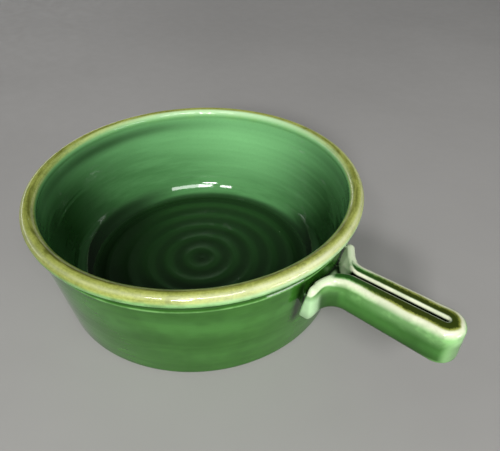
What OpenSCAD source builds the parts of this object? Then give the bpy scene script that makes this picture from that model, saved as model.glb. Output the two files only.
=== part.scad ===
// Stick-handled casserole dish in glazed stoneware, in millimetres.
// The base stands on z = 0, the bowl turns about the Z axis and the handle points along +X.
// Three clay pieces: a thrown bowl, a moulded handle and the layer of slip that joins them.

/* [Bowl] */

// Overall diameter across the rolled rim
rim_d = 221.5; // [205:0.5:250]

// Overall height from the table to the top of the rim
bowl_h = 80.6; // [70:0.1:100]

// Diameter of the base at its corner, before the corner is rounded
base_d = 193.8; // [170:0.2:198]

// Thickness of the wall where it leaves the floor
wall_base_t = 8.5; // [7:0.1:11]

// Thickness of the wall under the rim
wall_top_t = 4.8; // [4:0.1:7]

// Radius of the outside corner between wall and base
base_corner_r = 4; // [2:0.1:6]

/* [Rim] */

// Diameter of the rolled rim
roll_d = 9.5; // [7.5:0.1:12]

// How far the roll stands out past the wall
roll_out = 3.9; // [2.5:0.1:4.5]

// Height of the cove cut under the roll
cove_h = 5.4; // [4:0.1:6]

// Depth of the cove cut under the roll
cove_depth = 1.2; // [0.6:0.1:1.6]

/* [Floor and foot] */

// Thickness of the floor over the recess underneath
floor_t = 6; // [5:0.1:9]

// Radius of the inside corner between floor and wall
inside_corner_r = 17; // [10:0.5:24]

// Distance from one throwing ring on the floor to the next
ring_pitch = 14.4; // [10:0.1:20]

// Depth of the finger grooves between the throwing rings
ring_depth = 0.9; // [0.4:0.05:1.3]

// Depth of the recess turned under the base
foot_recess = 2.5; // [1.5:0.1:3.5]

// Width of the flat foot that the dish stands on
foot_w = 14; // [8:0.5:20]

/* [Handle] */

// Length of the handle from the wall at its top to its end
handle_l = 78.8; // [62:0.2:105]

// Distance from the ridge under the cove down to the handle's top
handle_drop = 0.5; // [0.2:0.1:8]

// Depth of the handle at its end
handle_tip_h = 24.8; // [20:0.1:28]

// Depth of the handle where it spreads into the wings
handle_root_h = 23; // [19:0.1:27]

// Width of each of the two rails at the handle's end
rail_tip_w = 9.4; // [7.5:0.1:11]

// Width of each of the two rails where they spread into the wings
rail_root_w = 8.7; // [7:0.1:10]

// Width of the groove between the rails
groove_w = 2.8; // [2.2:0.1:6]

// Depth of the groove below the top of the rails
groove_depth = 14; // [6:0.1:15]

// Radius of the rails' outer top edges
rail_edge_r = 4.6; // [3:0.1:5]

// Radius of the rails' lower edges
rail_foot_r = 4; // [2:0.1:5]

// Radius of the lips along the groove
lip_r = 1.7; // [0.8:0.1:2]

/* [Wings] */

// Radius of the hollow where a rail turns into its wing
flare_r = 10.5; // [9:0.5:15]

// Distance from the bowl's wall to the outer face of the wings
wing_stand = 8.5; // [7.5:0.1:11]

// Angle of the near wing, on the -Y side, from the rail's line
near_wing_angle = 90; // [60:1:90]

// Angle of the far wing, on the +Y side, from the rail's line
far_wing_angle = 57; // [50:1:90]

// Straight length of the near wing past the hollow
near_wing_run = 2.8; // [0.2:0.1:6]

// Straight length of the far wing past the hollow
far_wing_run = 7; // [0.2:0.1:9]

// Length of the rounding at the wings' ends
wing_end = 4.5; // [2:0.1:6]

// Angle between the wings' backs and the bowl's wall
wing_back_angle = 9; // [4:0.5:20]

// Distance that the ridge of the wings moves out from the rails' inner edge
wing_ridge = 4.2; // [2:0.1:4.6]

// Radius of the ridge's back edge on the wings
wing_lip_r = 1.8; // [1.2:0.1:2.2]

// Length of the near wing's end that stands free of the wall
wing_free = 8; // [4:0.1:10]

// Gap between the wall and the free end of the near wing
wing_gap = 4.6; // [3:0.1:5]

/* [Joint] */

// Thickness of the slip between the handle and the wall
slip_t = 0.8; // [0.4:0.1:1.5]

/* [Hidden] */

// Smoothness of the turned surfaces
$fn = 180;

// Rim roll
roll_r = roll_d / 2;
roll_centre_r = rim_d / 2 - roll_r;
roll_z = bowl_h - roll_r;
neck_z = bowl_h - roll_d;

// Outer wall, a cone from the base corner to the neck under the roll
base_r = base_d / 2;
neck_r = rim_d / 2 - roll_out;
wall_slope = (neck_r - base_r) / neck_z;
wall_tilt = atan(wall_slope);
function wall_r(z) = base_r + wall_slope * z;

// Inner wall, a steeper cone because the wall thins toward the rim
floor_z = foot_recess + floor_t;
inner_floor_r = wall_r(floor_z) - wall_base_t;
inner_slope = (neck_r - wall_top_t - inner_floor_r) / (neck_z - floor_z);
inner_tilt = atan(inner_slope);
function inner_r(z) = inner_floor_r + inner_slope * (z - floor_z);

// Centres of the rounded corners; the inside one dips below the floor like one more finger groove
base_corner_x = base_r - base_corner_r * (1 - sin(wall_tilt)) / cos(wall_tilt);
inside_corner_z = floor_z - ring_depth + inside_corner_r;
inside_corner_x = inner_r(inside_corner_z) - inside_corner_r / cos(inner_tilt);

// Throwing rings: finger grooves as arcs as wide as the pitch, less a narrow crest
finger_half = 0.46 * ring_pitch;
finger_arc_r = (finger_half * finger_half + ring_depth * ring_depth) / (2 * ring_depth);
ring_first = 0.22 * ring_pitch;

// Foot recess
foot_in_r = base_corner_x - foot_w;

// Handle: the groove's edge is the line that the rails are swept along
handle_top = neck_z - cove_h - handle_drop;
groove_half = groove_w / 2;
root_r = wall_r(handle_top);
tip_x = root_r + handle_l - groove_half - rail_tip_w;
wing_y = groove_half + rail_root_w + flare_r;
turn_r = flare_r + rail_root_w;
flare_x = sqrt(root_r * root_r - wing_y * wing_y) + wing_stand + flare_r;
foot_slope = atan((handle_tip_h - handle_root_h) / (tip_x - flare_x));

// Angle of the groove's sides from upright, so that the handle leaves its mould
groove_angle = 2;

// Share of a wing's turn at which the rail's section has become the wing's
wing_share = 0.83;

// Wings' ends: drop of the top, set-back of the outer face, rise of the foot, rounding of the back edge
end_drop = 6;
end_set_back = 2.6;
end_rise = 0.6;
end_lip_r = 0.5;

// Widths of the wings' end faces; the far one is wide enough to run into the wall
near_end_w = 2.4;
far_end_w = 4.8;

// Least flat left between two roundings of a section
least_flat = 0.3;

// Web: its rise above the rails' underside, and how far it runs into the wall before it is cut
web_rise = 0.3;
web_back = 6;

// Overshoot of a cut past the face that it opens
overcut = 1;

// Steps of the rounded edges and of the bends in the sweep
edge_steps = 7;
lip_steps = 5;
heel_steps = 6;
end_steps = 5;
flare_steps = 15;
tip_steps = 12;

// Half of the bowl's section, right of the axis
module bowl_section() {
    difference() {
        union() {
            polygon([
                [0, 0],
                [base_corner_x, 0],
                [base_corner_x, base_corner_r],
                [base_corner_x + base_corner_r * cos(wall_tilt),
                 base_corner_r * (1 - sin(wall_tilt))],
                [wall_r(roll_z), roll_z],
                [0, roll_z]
            ]);
            translate([base_corner_x, base_corner_r]) circle(base_corner_r);
            translate([roll_centre_r, roll_z]) circle(roll_r);
        }
        inside_section();
        foot_section();
        cove_section();
    }
}

// Hollow of the bowl, kept clear of the roll
module inside_section() {
    difference() {
        union() {
            polygon([
                [0, floor_z],
                [inside_corner_x, floor_z],
                [inside_corner_x, inside_corner_z],
                [inside_corner_x + inside_corner_r * cos(inner_tilt),
                 inside_corner_z - inside_corner_r * sin(inner_tilt)],
                [inner_r(roll_z), roll_z],
                [inner_r(roll_z), bowl_h + overcut],
                [0, bowl_h + overcut]
            ]);
            translate([inside_corner_x, inside_corner_z]) circle(inside_corner_r);
            finger_grooves();
        }
        translate([roll_centre_r, roll_z]) circle(roll_r);
    }
}

// Grooves that the thrower's fingers leave on the floor, as many as the floor has room for
module finger_grooves() {
    for (r = [ring_first : ring_pitch : inside_corner_x - finger_half]) {
        intersection() {
            translate([r, floor_z - ring_depth + finger_arc_r]) circle(finger_arc_r);
            translate([0, floor_z - 2 * ring_depth]) square([inside_corner_x, 3 * ring_depth]);
        }
    }
}

// Recess under the base with a round inner edge to the foot
module foot_section() {
    translate([0, -overcut]) square([foot_in_r - foot_recess, foot_recess + overcut]);
    translate([foot_in_r - foot_recess, 0]) circle(foot_recess);
}

// Cove under the roll, which leaves a thin ridge on the wall below it
module cove_section() {
    arc_r = (cove_h * cove_h / 4 + cove_depth * cove_depth) / (2 * cove_depth);
    mid_z = neck_z - cove_h / 2;
    translate([wall_r(mid_z) + arc_r - cove_depth, mid_z]) circle(arc_r);
}

// Cone of the bowl's outer wall, grown outward
module wall_cone(grow) {
    cylinder(h = neck_z, r1 = base_r + grow, r2 = neck_r + grow);
}

// Points of an arc in a rail's section
function arc(u, z, r, from, to, steps) =
    [for (i = [0 : steps])
        let (a = from + (to - from) * i / steps)
        [u + r * cos(a), z + r * sin(a)]];

// Section of a rail, u running outward from the groove's edge.
// wing goes from 0 on the rail to 1 on the wing, tip from 0 at the root to 1 at the tip,
// shut from 0 to 1 over the rounding of the wing's end, and end_w is the width of that end's face.
function rail_section(wing, tip, shut, end_w) =
    let (
        open_lean = groove_angle + (wall_tilt + wing_back_angle - groove_angle) * wing,
        lean = open_lean + (wall_tilt - open_lean) * shut,
        top = handle_top - end_drop * shut,
        foot = handle_top - handle_root_h - (handle_tip_h - handle_root_h) * tip + end_rise * shut,
        right = rail_root_w + (rail_tip_w - rail_root_w) * tip - end_set_back * shut,
        nose = right - end_w,
        left = wing_ridge * wing + (nose - wing_ridge) * shut,
        open_lip = lip_r + (wing_lip_r - lip_r) * wing,
        lip = open_lip + (end_lip_r - open_lip) * shut,
        lip_u = left + lip * (1 - sin(lean)) / cos(lean),
        edge = min(rail_edge_r, right - lip_u - least_flat),
        heel = min(rail_foot_r, right - left - least_flat)
    )
    concat(
        arc(right - edge, top - edge, edge, 0, 90, edge_steps),
        arc(lip_u, top - lip, lip, 90, 180 - lean, lip_steps),
        [[left - (top - foot) * tan(lean), foot]],
        arc(right - heel, foot + heel, heel, 270, 360, heel_steps)
    );

// Smooth step from 0 to 1
function ease(t) = t * t * (3 - 2 * t);

// Stations from a near wing's end to the middle of the tip: x, y, heading, wing, tip, shut, end_w
function half_stations(turn, run, end_w) = concat(
    [for (i = [0 : end_steps])
        let (a = 90 - 90 * i / end_steps, past = run + wing_end * sin(a))
        [flare_x - turn_r * sin(turn) - past * cos(turn), -wing_y + turn_r * cos(turn) - past * sin(turn),
         turn, 1, 0, 1 - cos(a), end_w]],
    [for (i = [0 : flare_steps])
        let (a = turn * (1 - i / flare_steps))
        [flare_x - turn_r * sin(a), -wing_y + turn_r * cos(a),
         a, ease(min(1, a / turn / wing_share)), 0, 0, end_w]],
    [for (i = [0 : tip_steps])
        let (a = -90 + 90 * i / tip_steps)
        [tip_x + groove_half * cos(a), groove_half * sin(a), a + 90, 0, 1, 0, end_w]]
);

// The same stations on the far side, from the tip to the wing's end
function mirrored(half) =
    [for (i = [len(half) - 2 : -1 : 0])
        let (s = half[i])
        [s[0], -s[1], 180 - s[2], s[3], s[4], s[5], s[6]]];
stations = concat(half_stations(near_wing_angle, near_wing_run, near_end_w),
                  mirrored(half_stations(far_wing_angle, far_wing_run, far_end_w)));

// One station's section placed in the room
function placed(s) =
    [for (p = rail_section(s[3], s[4], s[5], s[6]))
        [s[0] + p[0] * sin(s[2]), s[1] - p[0] * cos(s[2]), p[1]]];

// The two rails as one bar, bent like a hairpin, with its ends spread into wings
module rail_bar() {
    rings = [for (s = stations) placed(s)];
    m = len(rings[0]);
    n = len(rings);
    points = [for (ring = rings) each ring];
    sides = [for (i = [0 : n - 2]) for (j = [0 : m - 1])
        let (k = (j + 1) % m)
        each [[i * m + j, i * m + k, (i + 1) * m + k], [i * m + j, (i + 1) * m + k, (i + 1) * m + j]]];
    first_end = [for (j = [1 : m - 2]) [0, j + 1, j]];
    last_end = [for (j = [1 : m - 2]) [(n - 1) * m, (n - 1) * m + j, (n - 1) * m + j + 1]];
    polyhedron(points, concat(sides, first_end, last_end));
}

// Plan of the web between the rails, reaching halfway into them and back to the wall
module web_plan() {
    web_y = groove_half + rail_root_w / 2;
    web_turn_r = turn_r - rail_root_w / 2;
    translate([flare_x, -web_y]) square([tip_x - flare_x, 2 * web_y]);
    translate([tip_x, 0]) circle(web_y);
    for (wing = [[-1, near_wing_angle], [1, far_wing_angle]]) {
        reach = wing_y - web_turn_r * cos(wing[1]) + rail_root_w / 2 * sin(wing[1]);
        scale([1, wing[0]]) difference() {
            translate([flare_x - turn_r - web_back, 0])
                square([turn_r + web_back + overcut, reach]);
            translate([flare_x, wing_y]) circle(web_turn_r);
        }
    }
}

// Web that closes the groove from below, its underside just above the rails' own
module web() {
    translate([flare_x, 0, handle_top - handle_root_h + web_rise])
        rotate([0, foot_slope, 0])
            translate([-flare_x, 0, 0])
                linear_extrude(handle_root_h - groove_depth) web_plan();
}

// Pocket behind the near wing's end, which opens it to the wall
module wing_pocket() {
    free_y = wing_y + near_wing_run + wing_end - wing_free;
    intersection() {
        wall_cone(wing_gap);
        translate([0, -free_y - wing_free, bowl_h / 2])
            cube([rim_d, 2 * wing_free, bowl_h], center = true);
    }
}

// Handle before its back is cut to the wall
module handle_blank() {
    difference() {
        union() {
            rail_bar();
            web();
        }
        wing_pocket();
    }
}

// Thrown bowl with floor, wall, rolled rim and foot
module bowl() {
    color([0.24, 0.45, 0.20]) rotate_extrude() bowl_section();
}

// Moulded handle, its back hollowed to the wall
module handle() {
    color([0.30, 0.42, 0.14]) difference() {
        handle_blank();
        wall_cone(slip_t);
    }
}

// Slip between the handle's back and the wall
module luting_slip() {
    color([0.45, 0.38, 0.26]) intersection() {
        handle_blank();
        difference() {
            wall_cone(slip_t);
            wall_cone(0);
        }
    }
}

bowl();
handle();
luting_slip();
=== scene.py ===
import math

import bmesh
import bpy
import numpy as np
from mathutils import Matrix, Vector
from mathutils.kdtree import KDTree


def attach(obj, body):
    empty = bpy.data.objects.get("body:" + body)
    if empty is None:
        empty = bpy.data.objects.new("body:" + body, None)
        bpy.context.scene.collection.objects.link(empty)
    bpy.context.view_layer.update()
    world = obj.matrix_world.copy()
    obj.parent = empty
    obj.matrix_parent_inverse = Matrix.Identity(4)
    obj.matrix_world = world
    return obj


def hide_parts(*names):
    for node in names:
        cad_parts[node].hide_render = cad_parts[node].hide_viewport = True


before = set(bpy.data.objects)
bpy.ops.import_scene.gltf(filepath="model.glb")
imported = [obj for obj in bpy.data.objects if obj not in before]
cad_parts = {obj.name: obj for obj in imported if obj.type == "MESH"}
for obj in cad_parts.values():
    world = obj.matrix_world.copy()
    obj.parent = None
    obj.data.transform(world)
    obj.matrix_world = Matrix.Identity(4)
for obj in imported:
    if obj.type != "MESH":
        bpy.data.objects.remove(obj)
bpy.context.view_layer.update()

# Lengths are in millimetres, as in the part's source, and meshes are made in metres
MM = 0.001

# Bowl
RIM_D = 221.5
BOWL_H = 80.6
BASE_D = 193.8
WALL_BASE_T = 8.5
WALL_TOP_T = 4.8
BASE_CORNER_R = 4.0
ROLL_D = 9.5
ROLL_OUT = 3.9
COVE_H = 5.4
COVE_DEPTH = 1.2
FLOOR_T = 6.0
INSIDE_CORNER_R = 17.0
RING_PITCH = 14.4
RING_DEPTH = 0.9
FOOT_RECESS = 2.5
FOOT_W = 14.0

# Handle
HANDLE_L = 78.8
HANDLE_DROP = 0.5
HANDLE_TIP_H = 24.8
HANDLE_ROOT_H = 23.0
RAIL_TIP_W = 9.4
RAIL_ROOT_W = 8.7
GROOVE_W = 2.8
GROOVE_DEPTH = 14.0
RAIL_EDGE_R = 4.6
RAIL_FOOT_R = 4.0
LIP_R = 1.7
FLARE_R = 10.5
WING_STAND = 8.5
NEAR_WING_ANGLE = 90.0
FAR_WING_ANGLE = 57.0
NEAR_WING_RUN = 2.8
FAR_WING_RUN = 7.0
WING_END = 4.5
WING_BACK_ANGLE = 9.0
WING_RIDGE = 4.2
WING_LIP_R = 1.8
WING_SHARE = 0.83
WING_FREE = 8.0
WING_GAP = 4.6
SLIP_T = 0.8
GROOVE_ANGLE = 2.0
END_DROP = 6.0
END_SET_BACK = 2.6
END_RISE = 0.6
END_LIP_R = 0.5
NEAR_END_W = 2.4
FAR_END_W = 4.8
LEAST_FLAT = 0.3
WEB_RISE = 0.3
WEB_BACK = 6.0

# Places that follow from the sizes
ROLL_R = ROLL_D / 2
ROLL_CENTRE_R = RIM_D / 2 - ROLL_R
ROLL_Z = BOWL_H - ROLL_R
NECK_Z = BOWL_H - ROLL_D
RIDGE_Z = NECK_Z - COVE_H
COVE_Z = NECK_Z - COVE_H / 2
BASE_R = BASE_D / 2
NECK_R = RIM_D / 2 - ROLL_OUT
WALL_RISE = (NECK_R - BASE_R) / NECK_Z
WALL_TILT = math.atan(WALL_RISE)
FLOOR_Z = FOOT_RECESS + FLOOR_T
INNER_FLOOR_R = BASE_R + WALL_RISE * FLOOR_Z - WALL_BASE_T
INNER_RISE = (NECK_R - WALL_TOP_T - INNER_FLOOR_R) / (NECK_Z - FLOOR_Z)
INNER_TILT = math.atan(INNER_RISE)
BASE_CORNER_X = BASE_R - BASE_CORNER_R * (1 - math.sin(WALL_TILT)) / math.cos(WALL_TILT)
INSIDE_CORNER_Z = FLOOR_Z - RING_DEPTH + INSIDE_CORNER_R
INSIDE_CORNER_X = (INNER_FLOOR_R + INNER_RISE * (INSIDE_CORNER_Z - FLOOR_Z)
                   - INSIDE_CORNER_R / math.cos(INNER_TILT))
FINGER_HALF = 0.46 * RING_PITCH
FINGER_ARC_R = (FINGER_HALF ** 2 + RING_DEPTH ** 2) / (2 * RING_DEPTH)
FIRST_RING_R = 0.22 * RING_PITCH
FOOT_IN_R = BASE_CORNER_X - FOOT_W
HANDLE_TOP = RIDGE_Z - HANDLE_DROP
GROOVE_HALF = GROOVE_W / 2
ROOT_R = BASE_R + WALL_RISE * HANDLE_TOP
TIP_X = ROOT_R + HANDLE_L - GROOVE_HALF - RAIL_TIP_W
WING_Y = GROOVE_HALF + RAIL_ROOT_W + FLARE_R
TURN_R = FLARE_R + RAIL_ROOT_W
FLARE_X = math.sqrt(ROOT_R ** 2 - WING_Y ** 2) + WING_STAND + FLARE_R
NOSE_Y = WING_Y + NEAR_WING_RUN + WING_END


def wall_r(z):
    """Radius of the outer wall at a height."""
    return BASE_R + WALL_RISE * z


def smooth_step(low, high, value):
    """Goes from 0 at low to 1 at high with soft ends. Low may be the larger of the two."""
    t = np.clip((np.asarray(value, float) - low) / (high - low), 0, 1)
    return t * t * (3 - 2 * t)


def stepper(zones, value):
    """A function that multiplies soft steps of one value, over the zones named to it."""
    def steps(*names):
        share = 1.0
        for name in names:
            share = share * smooth_step(*zones[name], value)
        return share
    return steps


def bump(value, middle, half):
    """Is 1 at the middle and fades on both sides of it."""
    return np.exp(-(((np.asarray(value, float) - middle) / half) ** 2))


def largest(*values):
    most = values[0]
    for value in values[1:]:
        most = np.maximum(most, value)
    return most


def placed(name, data):
    thing = bpy.data.objects.new(name, data)
    bpy.context.scene.collection.objects.link(thing)
    return thing


def mesh_object(name, points, faces, smooth=True):
    mesh = bpy.data.meshes.new(name)
    mesh.from_pydata(np.asarray(points, float) * MM, [], faces)
    mesh.validate()
    mesh.update()
    if smooth:
        mesh.shade_smooth()
    return placed(name, mesh)


def vectors_of(piece, key):
    flat = np.zeros(len(piece.data.vertices) * 3)
    piece.data.vertices.foreach_get(key, flat)
    return flat.reshape(-1, 3)


def points_of(piece):
    return vectors_of(piece, "co") / MM


def set_points(piece, points):
    piece.data.vertices.foreach_set("co", (np.asarray(points, float) * MM).ravel())
    piece.data.update()


def ring_faces(rings, count):
    """Faces between rings that each have the same count of points."""
    faces = []
    for low in range(0, (rings - 1) * count, count):
        high = low + count
        for j in range(count):
            k = (j + 1) % count
            faces.append((low + j, low + k, high + k, high + j))
    return faces


def mask(piece, name, values):
    """Stores how much of a coat lies at each point; some coats are painted light and shade."""
    layer = piece.data.attributes.new(name, "FLOAT", "POINT")
    layer.data.foreach_set("value", np.clip(values, 0, 1).astype(np.float32))


def set_flow(piece, places):
    """Stores the places by which the material lays its streaks."""
    layer = piece.data.attributes.new("flow", "FLOAT_VECTOR", "POINT")
    layer.data.foreach_set("vector", (np.asarray(places, float) * MM).astype(np.float32).ravel())


# Camera at the photograph's place
CAMERA_AT = (197.8, -187.7, 251.8)
CAMERA_LOOKS_AT = (-2.8, 61.1, 0.0)
LENS = 34.56
SENSOR = 36.0
NEAREST_SEEN = 10

camera_data = bpy.data.cameras.new("camera")
camera_data.lens = LENS
camera_data.sensor_width = SENSOR
camera_data.clip_start = NEAREST_SEEN * MM
camera = placed("camera", camera_data)
camera_sight = Vector(CAMERA_LOOKS_AT) - Vector(CAMERA_AT)
camera.location = Vector(CAMERA_AT) * MM
camera.rotation_euler = camera_sight.to_track_quat("-Z", "Y").to_euler()
bpy.context.scene.camera = camera


# Bowl: the section is drawn as one fine line, softened as glaze softens edges, and turned about Z
LINE_STEP = 0.1
LEAST_STEP = 1e-6
TURN_STEPS = 288
# The section starts this far from the axis
AXIS_GAP = 0.05
# Angles at which the roll leaves the neck and runs into the inner wall, in degrees
ROLL_START = -80
ROLL_END = 220.3


def arc_line(centre, radius, start, end):
    count = max(2, int(abs(end - start) * radius / LINE_STEP))
    angles = np.linspace(start, end, count)
    return np.column_stack([centre[0] + radius * np.cos(angles), centre[1] + radius * np.sin(angles)])


def straight_line(start, end):
    count = max(2, int(math.dist(start, end) / LINE_STEP))
    return np.linspace(start, end, count)


def floor_height(r):
    height = np.full_like(r, FLOOR_Z)
    for centre in np.arange(FIRST_RING_R, INSIDE_CORNER_X - FINGER_HALF, RING_PITCH):
        inside = np.abs(r - centre) < FINGER_HALF
        arc_drop = FINGER_ARC_R - np.sqrt(FINGER_ARC_R ** 2 - (r[inside] - centre) ** 2)
        height[inside] = FLOOR_Z - RING_DEPTH + arc_drop
    corner = r > INSIDE_CORNER_X - INSIDE_CORNER_R
    dip = INSIDE_CORNER_Z - np.sqrt(np.maximum(INSIDE_CORNER_R ** 2 - (r - INSIDE_CORNER_X) ** 2, 0))
    return np.where(corner, np.minimum(height, dip), height)


def roll_point(angle):
    return ROLL_CENTRE_R + ROLL_R * math.cos(angle), ROLL_Z + ROLL_R * math.sin(angle)


def bowl_line():
    quarter = math.pi / 2
    cove_arc = (COVE_H ** 2 / 4 + COVE_DEPTH ** 2) / (2 * COVE_DEPTH)
    cove_r = wall_r(COVE_Z) + cove_arc - COVE_DEPTH
    roll_start = math.radians(ROLL_START)
    roll_end = math.radians(ROLL_END)
    roll_low = roll_point(roll_start)
    ridge_angle = math.atan2(RIDGE_Z - COVE_Z, wall_r(RIDGE_Z) - cove_r)
    neck_angle = math.atan2(roll_low[1] - COVE_Z, roll_low[0] - cove_r)
    floor_r = np.arange(INSIDE_CORNER_X, 0, -LINE_STEP)
    corner_out = (BASE_CORNER_X + BASE_CORNER_R * math.cos(WALL_TILT),
                  BASE_CORNER_R * (1 - math.sin(WALL_TILT)))
    corner_in = (INSIDE_CORNER_X + INSIDE_CORNER_R * math.cos(INNER_TILT),
                 INSIDE_CORNER_Z - INSIDE_CORNER_R * math.sin(INNER_TILT))
    return [
        straight_line((AXIS_GAP, FOOT_RECESS), (FOOT_IN_R - FOOT_RECESS, FOOT_RECESS)),
        arc_line((FOOT_IN_R - FOOT_RECESS, 0), FOOT_RECESS, quarter, 0),
        straight_line((FOOT_IN_R, 0), (BASE_CORNER_X, 0)),
        arc_line((BASE_CORNER_X, BASE_CORNER_R), BASE_CORNER_R, -quarter, -WALL_TILT),
        straight_line(corner_out, (wall_r(RIDGE_Z), RIDGE_Z)),
        arc_line((cove_r, COVE_Z), cove_arc, 2 * math.pi + ridge_angle, neck_angle),
        arc_line((ROLL_CENTRE_R, ROLL_Z), ROLL_R, roll_start, roll_end),
        straight_line(roll_point(roll_end), corner_in),
        arc_line((INSIDE_CORNER_X, INSIDE_CORNER_Z), INSIDE_CORNER_R, -INNER_TILT, -quarter),
        np.column_stack([floor_r, floor_height(floor_r)]),
    ]


# Softening of the section: on edges, at the corner under the roll and on the floor
EDGE_BLUR = 0.3
NECK_BLUR = 2.2
FLOOR_BLUR = 1.0
# Reach of a softening, as a multiple of its size
BLUR_REACH = 4
# Middle and half height of the soft corner, and heights between which the soft floor begins
NECK_BLUR_ZONE = (NECK_Z + 0.5, 3.0)
FLOOR_BLUR_ZONE = (FLOOR_Z + 3, FLOOR_Z + 1)


def resampled(path, places):
    along = np.concatenate([[0], np.cumsum(np.linalg.norm(np.diff(path, axis=0), axis=1))])
    return np.column_stack([np.interp(places, along, path[:, 0]), np.interp(places, along, path[:, 1])])


def blurred(path, size):
    reach = int(BLUR_REACH * size / LINE_STEP)
    offsets = np.arange(-reach, reach + 1)
    weights = np.exp(-0.5 * (offsets * LINE_STEP / size) ** 2)
    weights /= weights.sum()
    ends = np.pad(path, ((reach, reach), (0, 0)), mode="reflect", reflect_type="odd")
    return np.column_stack([np.convolve(ends[:, i], weights, mode="valid") for i in range(2)])


def soft_bowl_line():
    raw = np.vstack(bowl_line())
    keep = np.concatenate([[True], np.linalg.norm(np.diff(raw, axis=0), axis=1) > LEAST_STEP])
    raw = raw[keep]
    length = np.linalg.norm(np.diff(raw, axis=0), axis=1).sum()
    even = resampled(raw, np.arange(0, length, LINE_STEP))
    inside = np.arange(len(even)) > np.argmax(even[:, 1])
    near_neck = inside * bump(even[:, 1], *NECK_BLUR_ZONE)
    on_floor = inside * smooth_step(*FLOOR_BLUR_ZONE, even[:, 1])
    edges, neck, floor = (blurred(even, size) for size in (EDGE_BLUR, NECK_BLUR, FLOOR_BLUR))
    line = edges + near_neck[:, None] * (neck - edges)
    line += on_floor[:, None] * (floor - edges)
    return line, inside


# Spacing of the rings of points along the section
FINE_STEP = 0.42
WALL_STEP = 0.75
FLOOR_STEP = 0.8
UNDER_STEP = 2.5
# Heights and the radius at which the spacing changes
FINE_ABOVE = RIDGE_Z - 1.5
FLOOR_UP_TO = FLOOR_Z + 2
FOOT_UP_TO = BASE_CORNER_R + 1
UNDER_UP_TO = FOOT_RECESS + 0.01
UNDER_WITHIN = FOOT_IN_R - FOOT_RECESS - 1


def ring_places(line, inside):
    r, z = line[:, 0], line[:, 1]
    step = np.full(len(line), WALL_STEP)
    step[z > FINE_ABOVE] = FINE_STEP
    step[inside & (z < FLOOR_UP_TO)] = FLOOR_STEP
    step[~inside & (z < FOOT_UP_TO)] = FINE_STEP
    step[~inside & (z <= UNDER_UP_TO) & (r < UNDER_WITHIN)] = UNDER_STEP
    along = np.cumsum(LINE_STEP / step)
    count = int(along[-1])
    wanted = np.linspace(along[0], along[-1], count)
    return np.interp(wanted, along, np.arange(len(line)))


# Ridges of throwing, which climb like threads: pitch, number of starts and height
THREADS = ((2.9, 1, 0.014), (4.7, -2, 0.030), (7.9, 1, 0.050))
THREAD_SWAY = 0.5
OUTER_THREADS = 0.15
# Heights between which the ridges begin and end
THREADS_BEGIN = (4, 14)
THREADS_END = (NECK_Z, NECK_Z - 5)
# Slow waves of the rim: number round the wheel, height and phase
SLOW_WAVES = ((2, 0.10, 0.4), (3, 0.07, 2.1), (5, 0.04, 4.0))
WAVES_BEGIN = (NECK_Z - 3, NECK_Z + 2)
RIM_EASE = 0.05
RIM_SINK = 0.4
# Wander of the floor's rings: sideways with its phase, and in height with the radius per radian of twist
RING_SHIFT = 0.9
RING_SHIFT_PHASE = 0.8
RING_SWELL = 0.22
RING_TWIST = 9.0
# Heights between which the floor begins, and radii where the wander begins and ends
FLOOR_BEGIN = (FLOOR_Z + 2.5, FLOOR_Z + 0.5)
WANDER_BEGIN = (2, 12)
WANDER_END = (INSIDE_CORNER_X, INSIDE_CORNER_X - 6)


def thread_marks(z, turn):
    marks = np.zeros(np.broadcast(z, turn).shape)
    for pitch, starts, height in THREADS:
        sway = 1 + THREAD_SWAY * np.sin(turn * abs(starts) + pitch)
        wander = THREAD_SWAY * np.sin(2 * turn + pitch)
        marks += height * sway * np.sin(2 * math.pi * z / pitch + starts * turn + wander)
    return marks


def slow_waves(turn):
    return sum(height * np.sin(count * turn + phase) for count, height, phase in SLOW_WAVES)


def ring_wander(r, z, turn):
    """Height that the floor's rings gain where they run out of true."""
    shifted = np.clip(r + RING_SHIFT * np.sin(turn + RING_SHIFT_PHASE), 0, RIM_D)
    shift = floor_height(shifted) - floor_height(r)
    swell = RING_SWELL * (z - FLOOR_Z + RING_DEPTH) * np.sin(2 * turn + r / RING_TWIST)
    return (shift + swell) * smooth_step(*WANDER_BEGIN, r) * smooth_step(*WANDER_END, r)


def turned_faces(rings):
    """Faces of the turned bowl, with a fan at each end to a point on the axis."""
    faces = ring_faces(rings, TURN_STEPS)
    under = rings * TURN_STEPS
    last = under - TURN_STEPS
    for j in range(TURN_STEPS):
        k = (j + 1) % TURN_STEPS
        faces.append((under, k, j))
        faces.append((under + 1, last + j, last + k))
    return faces


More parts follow.
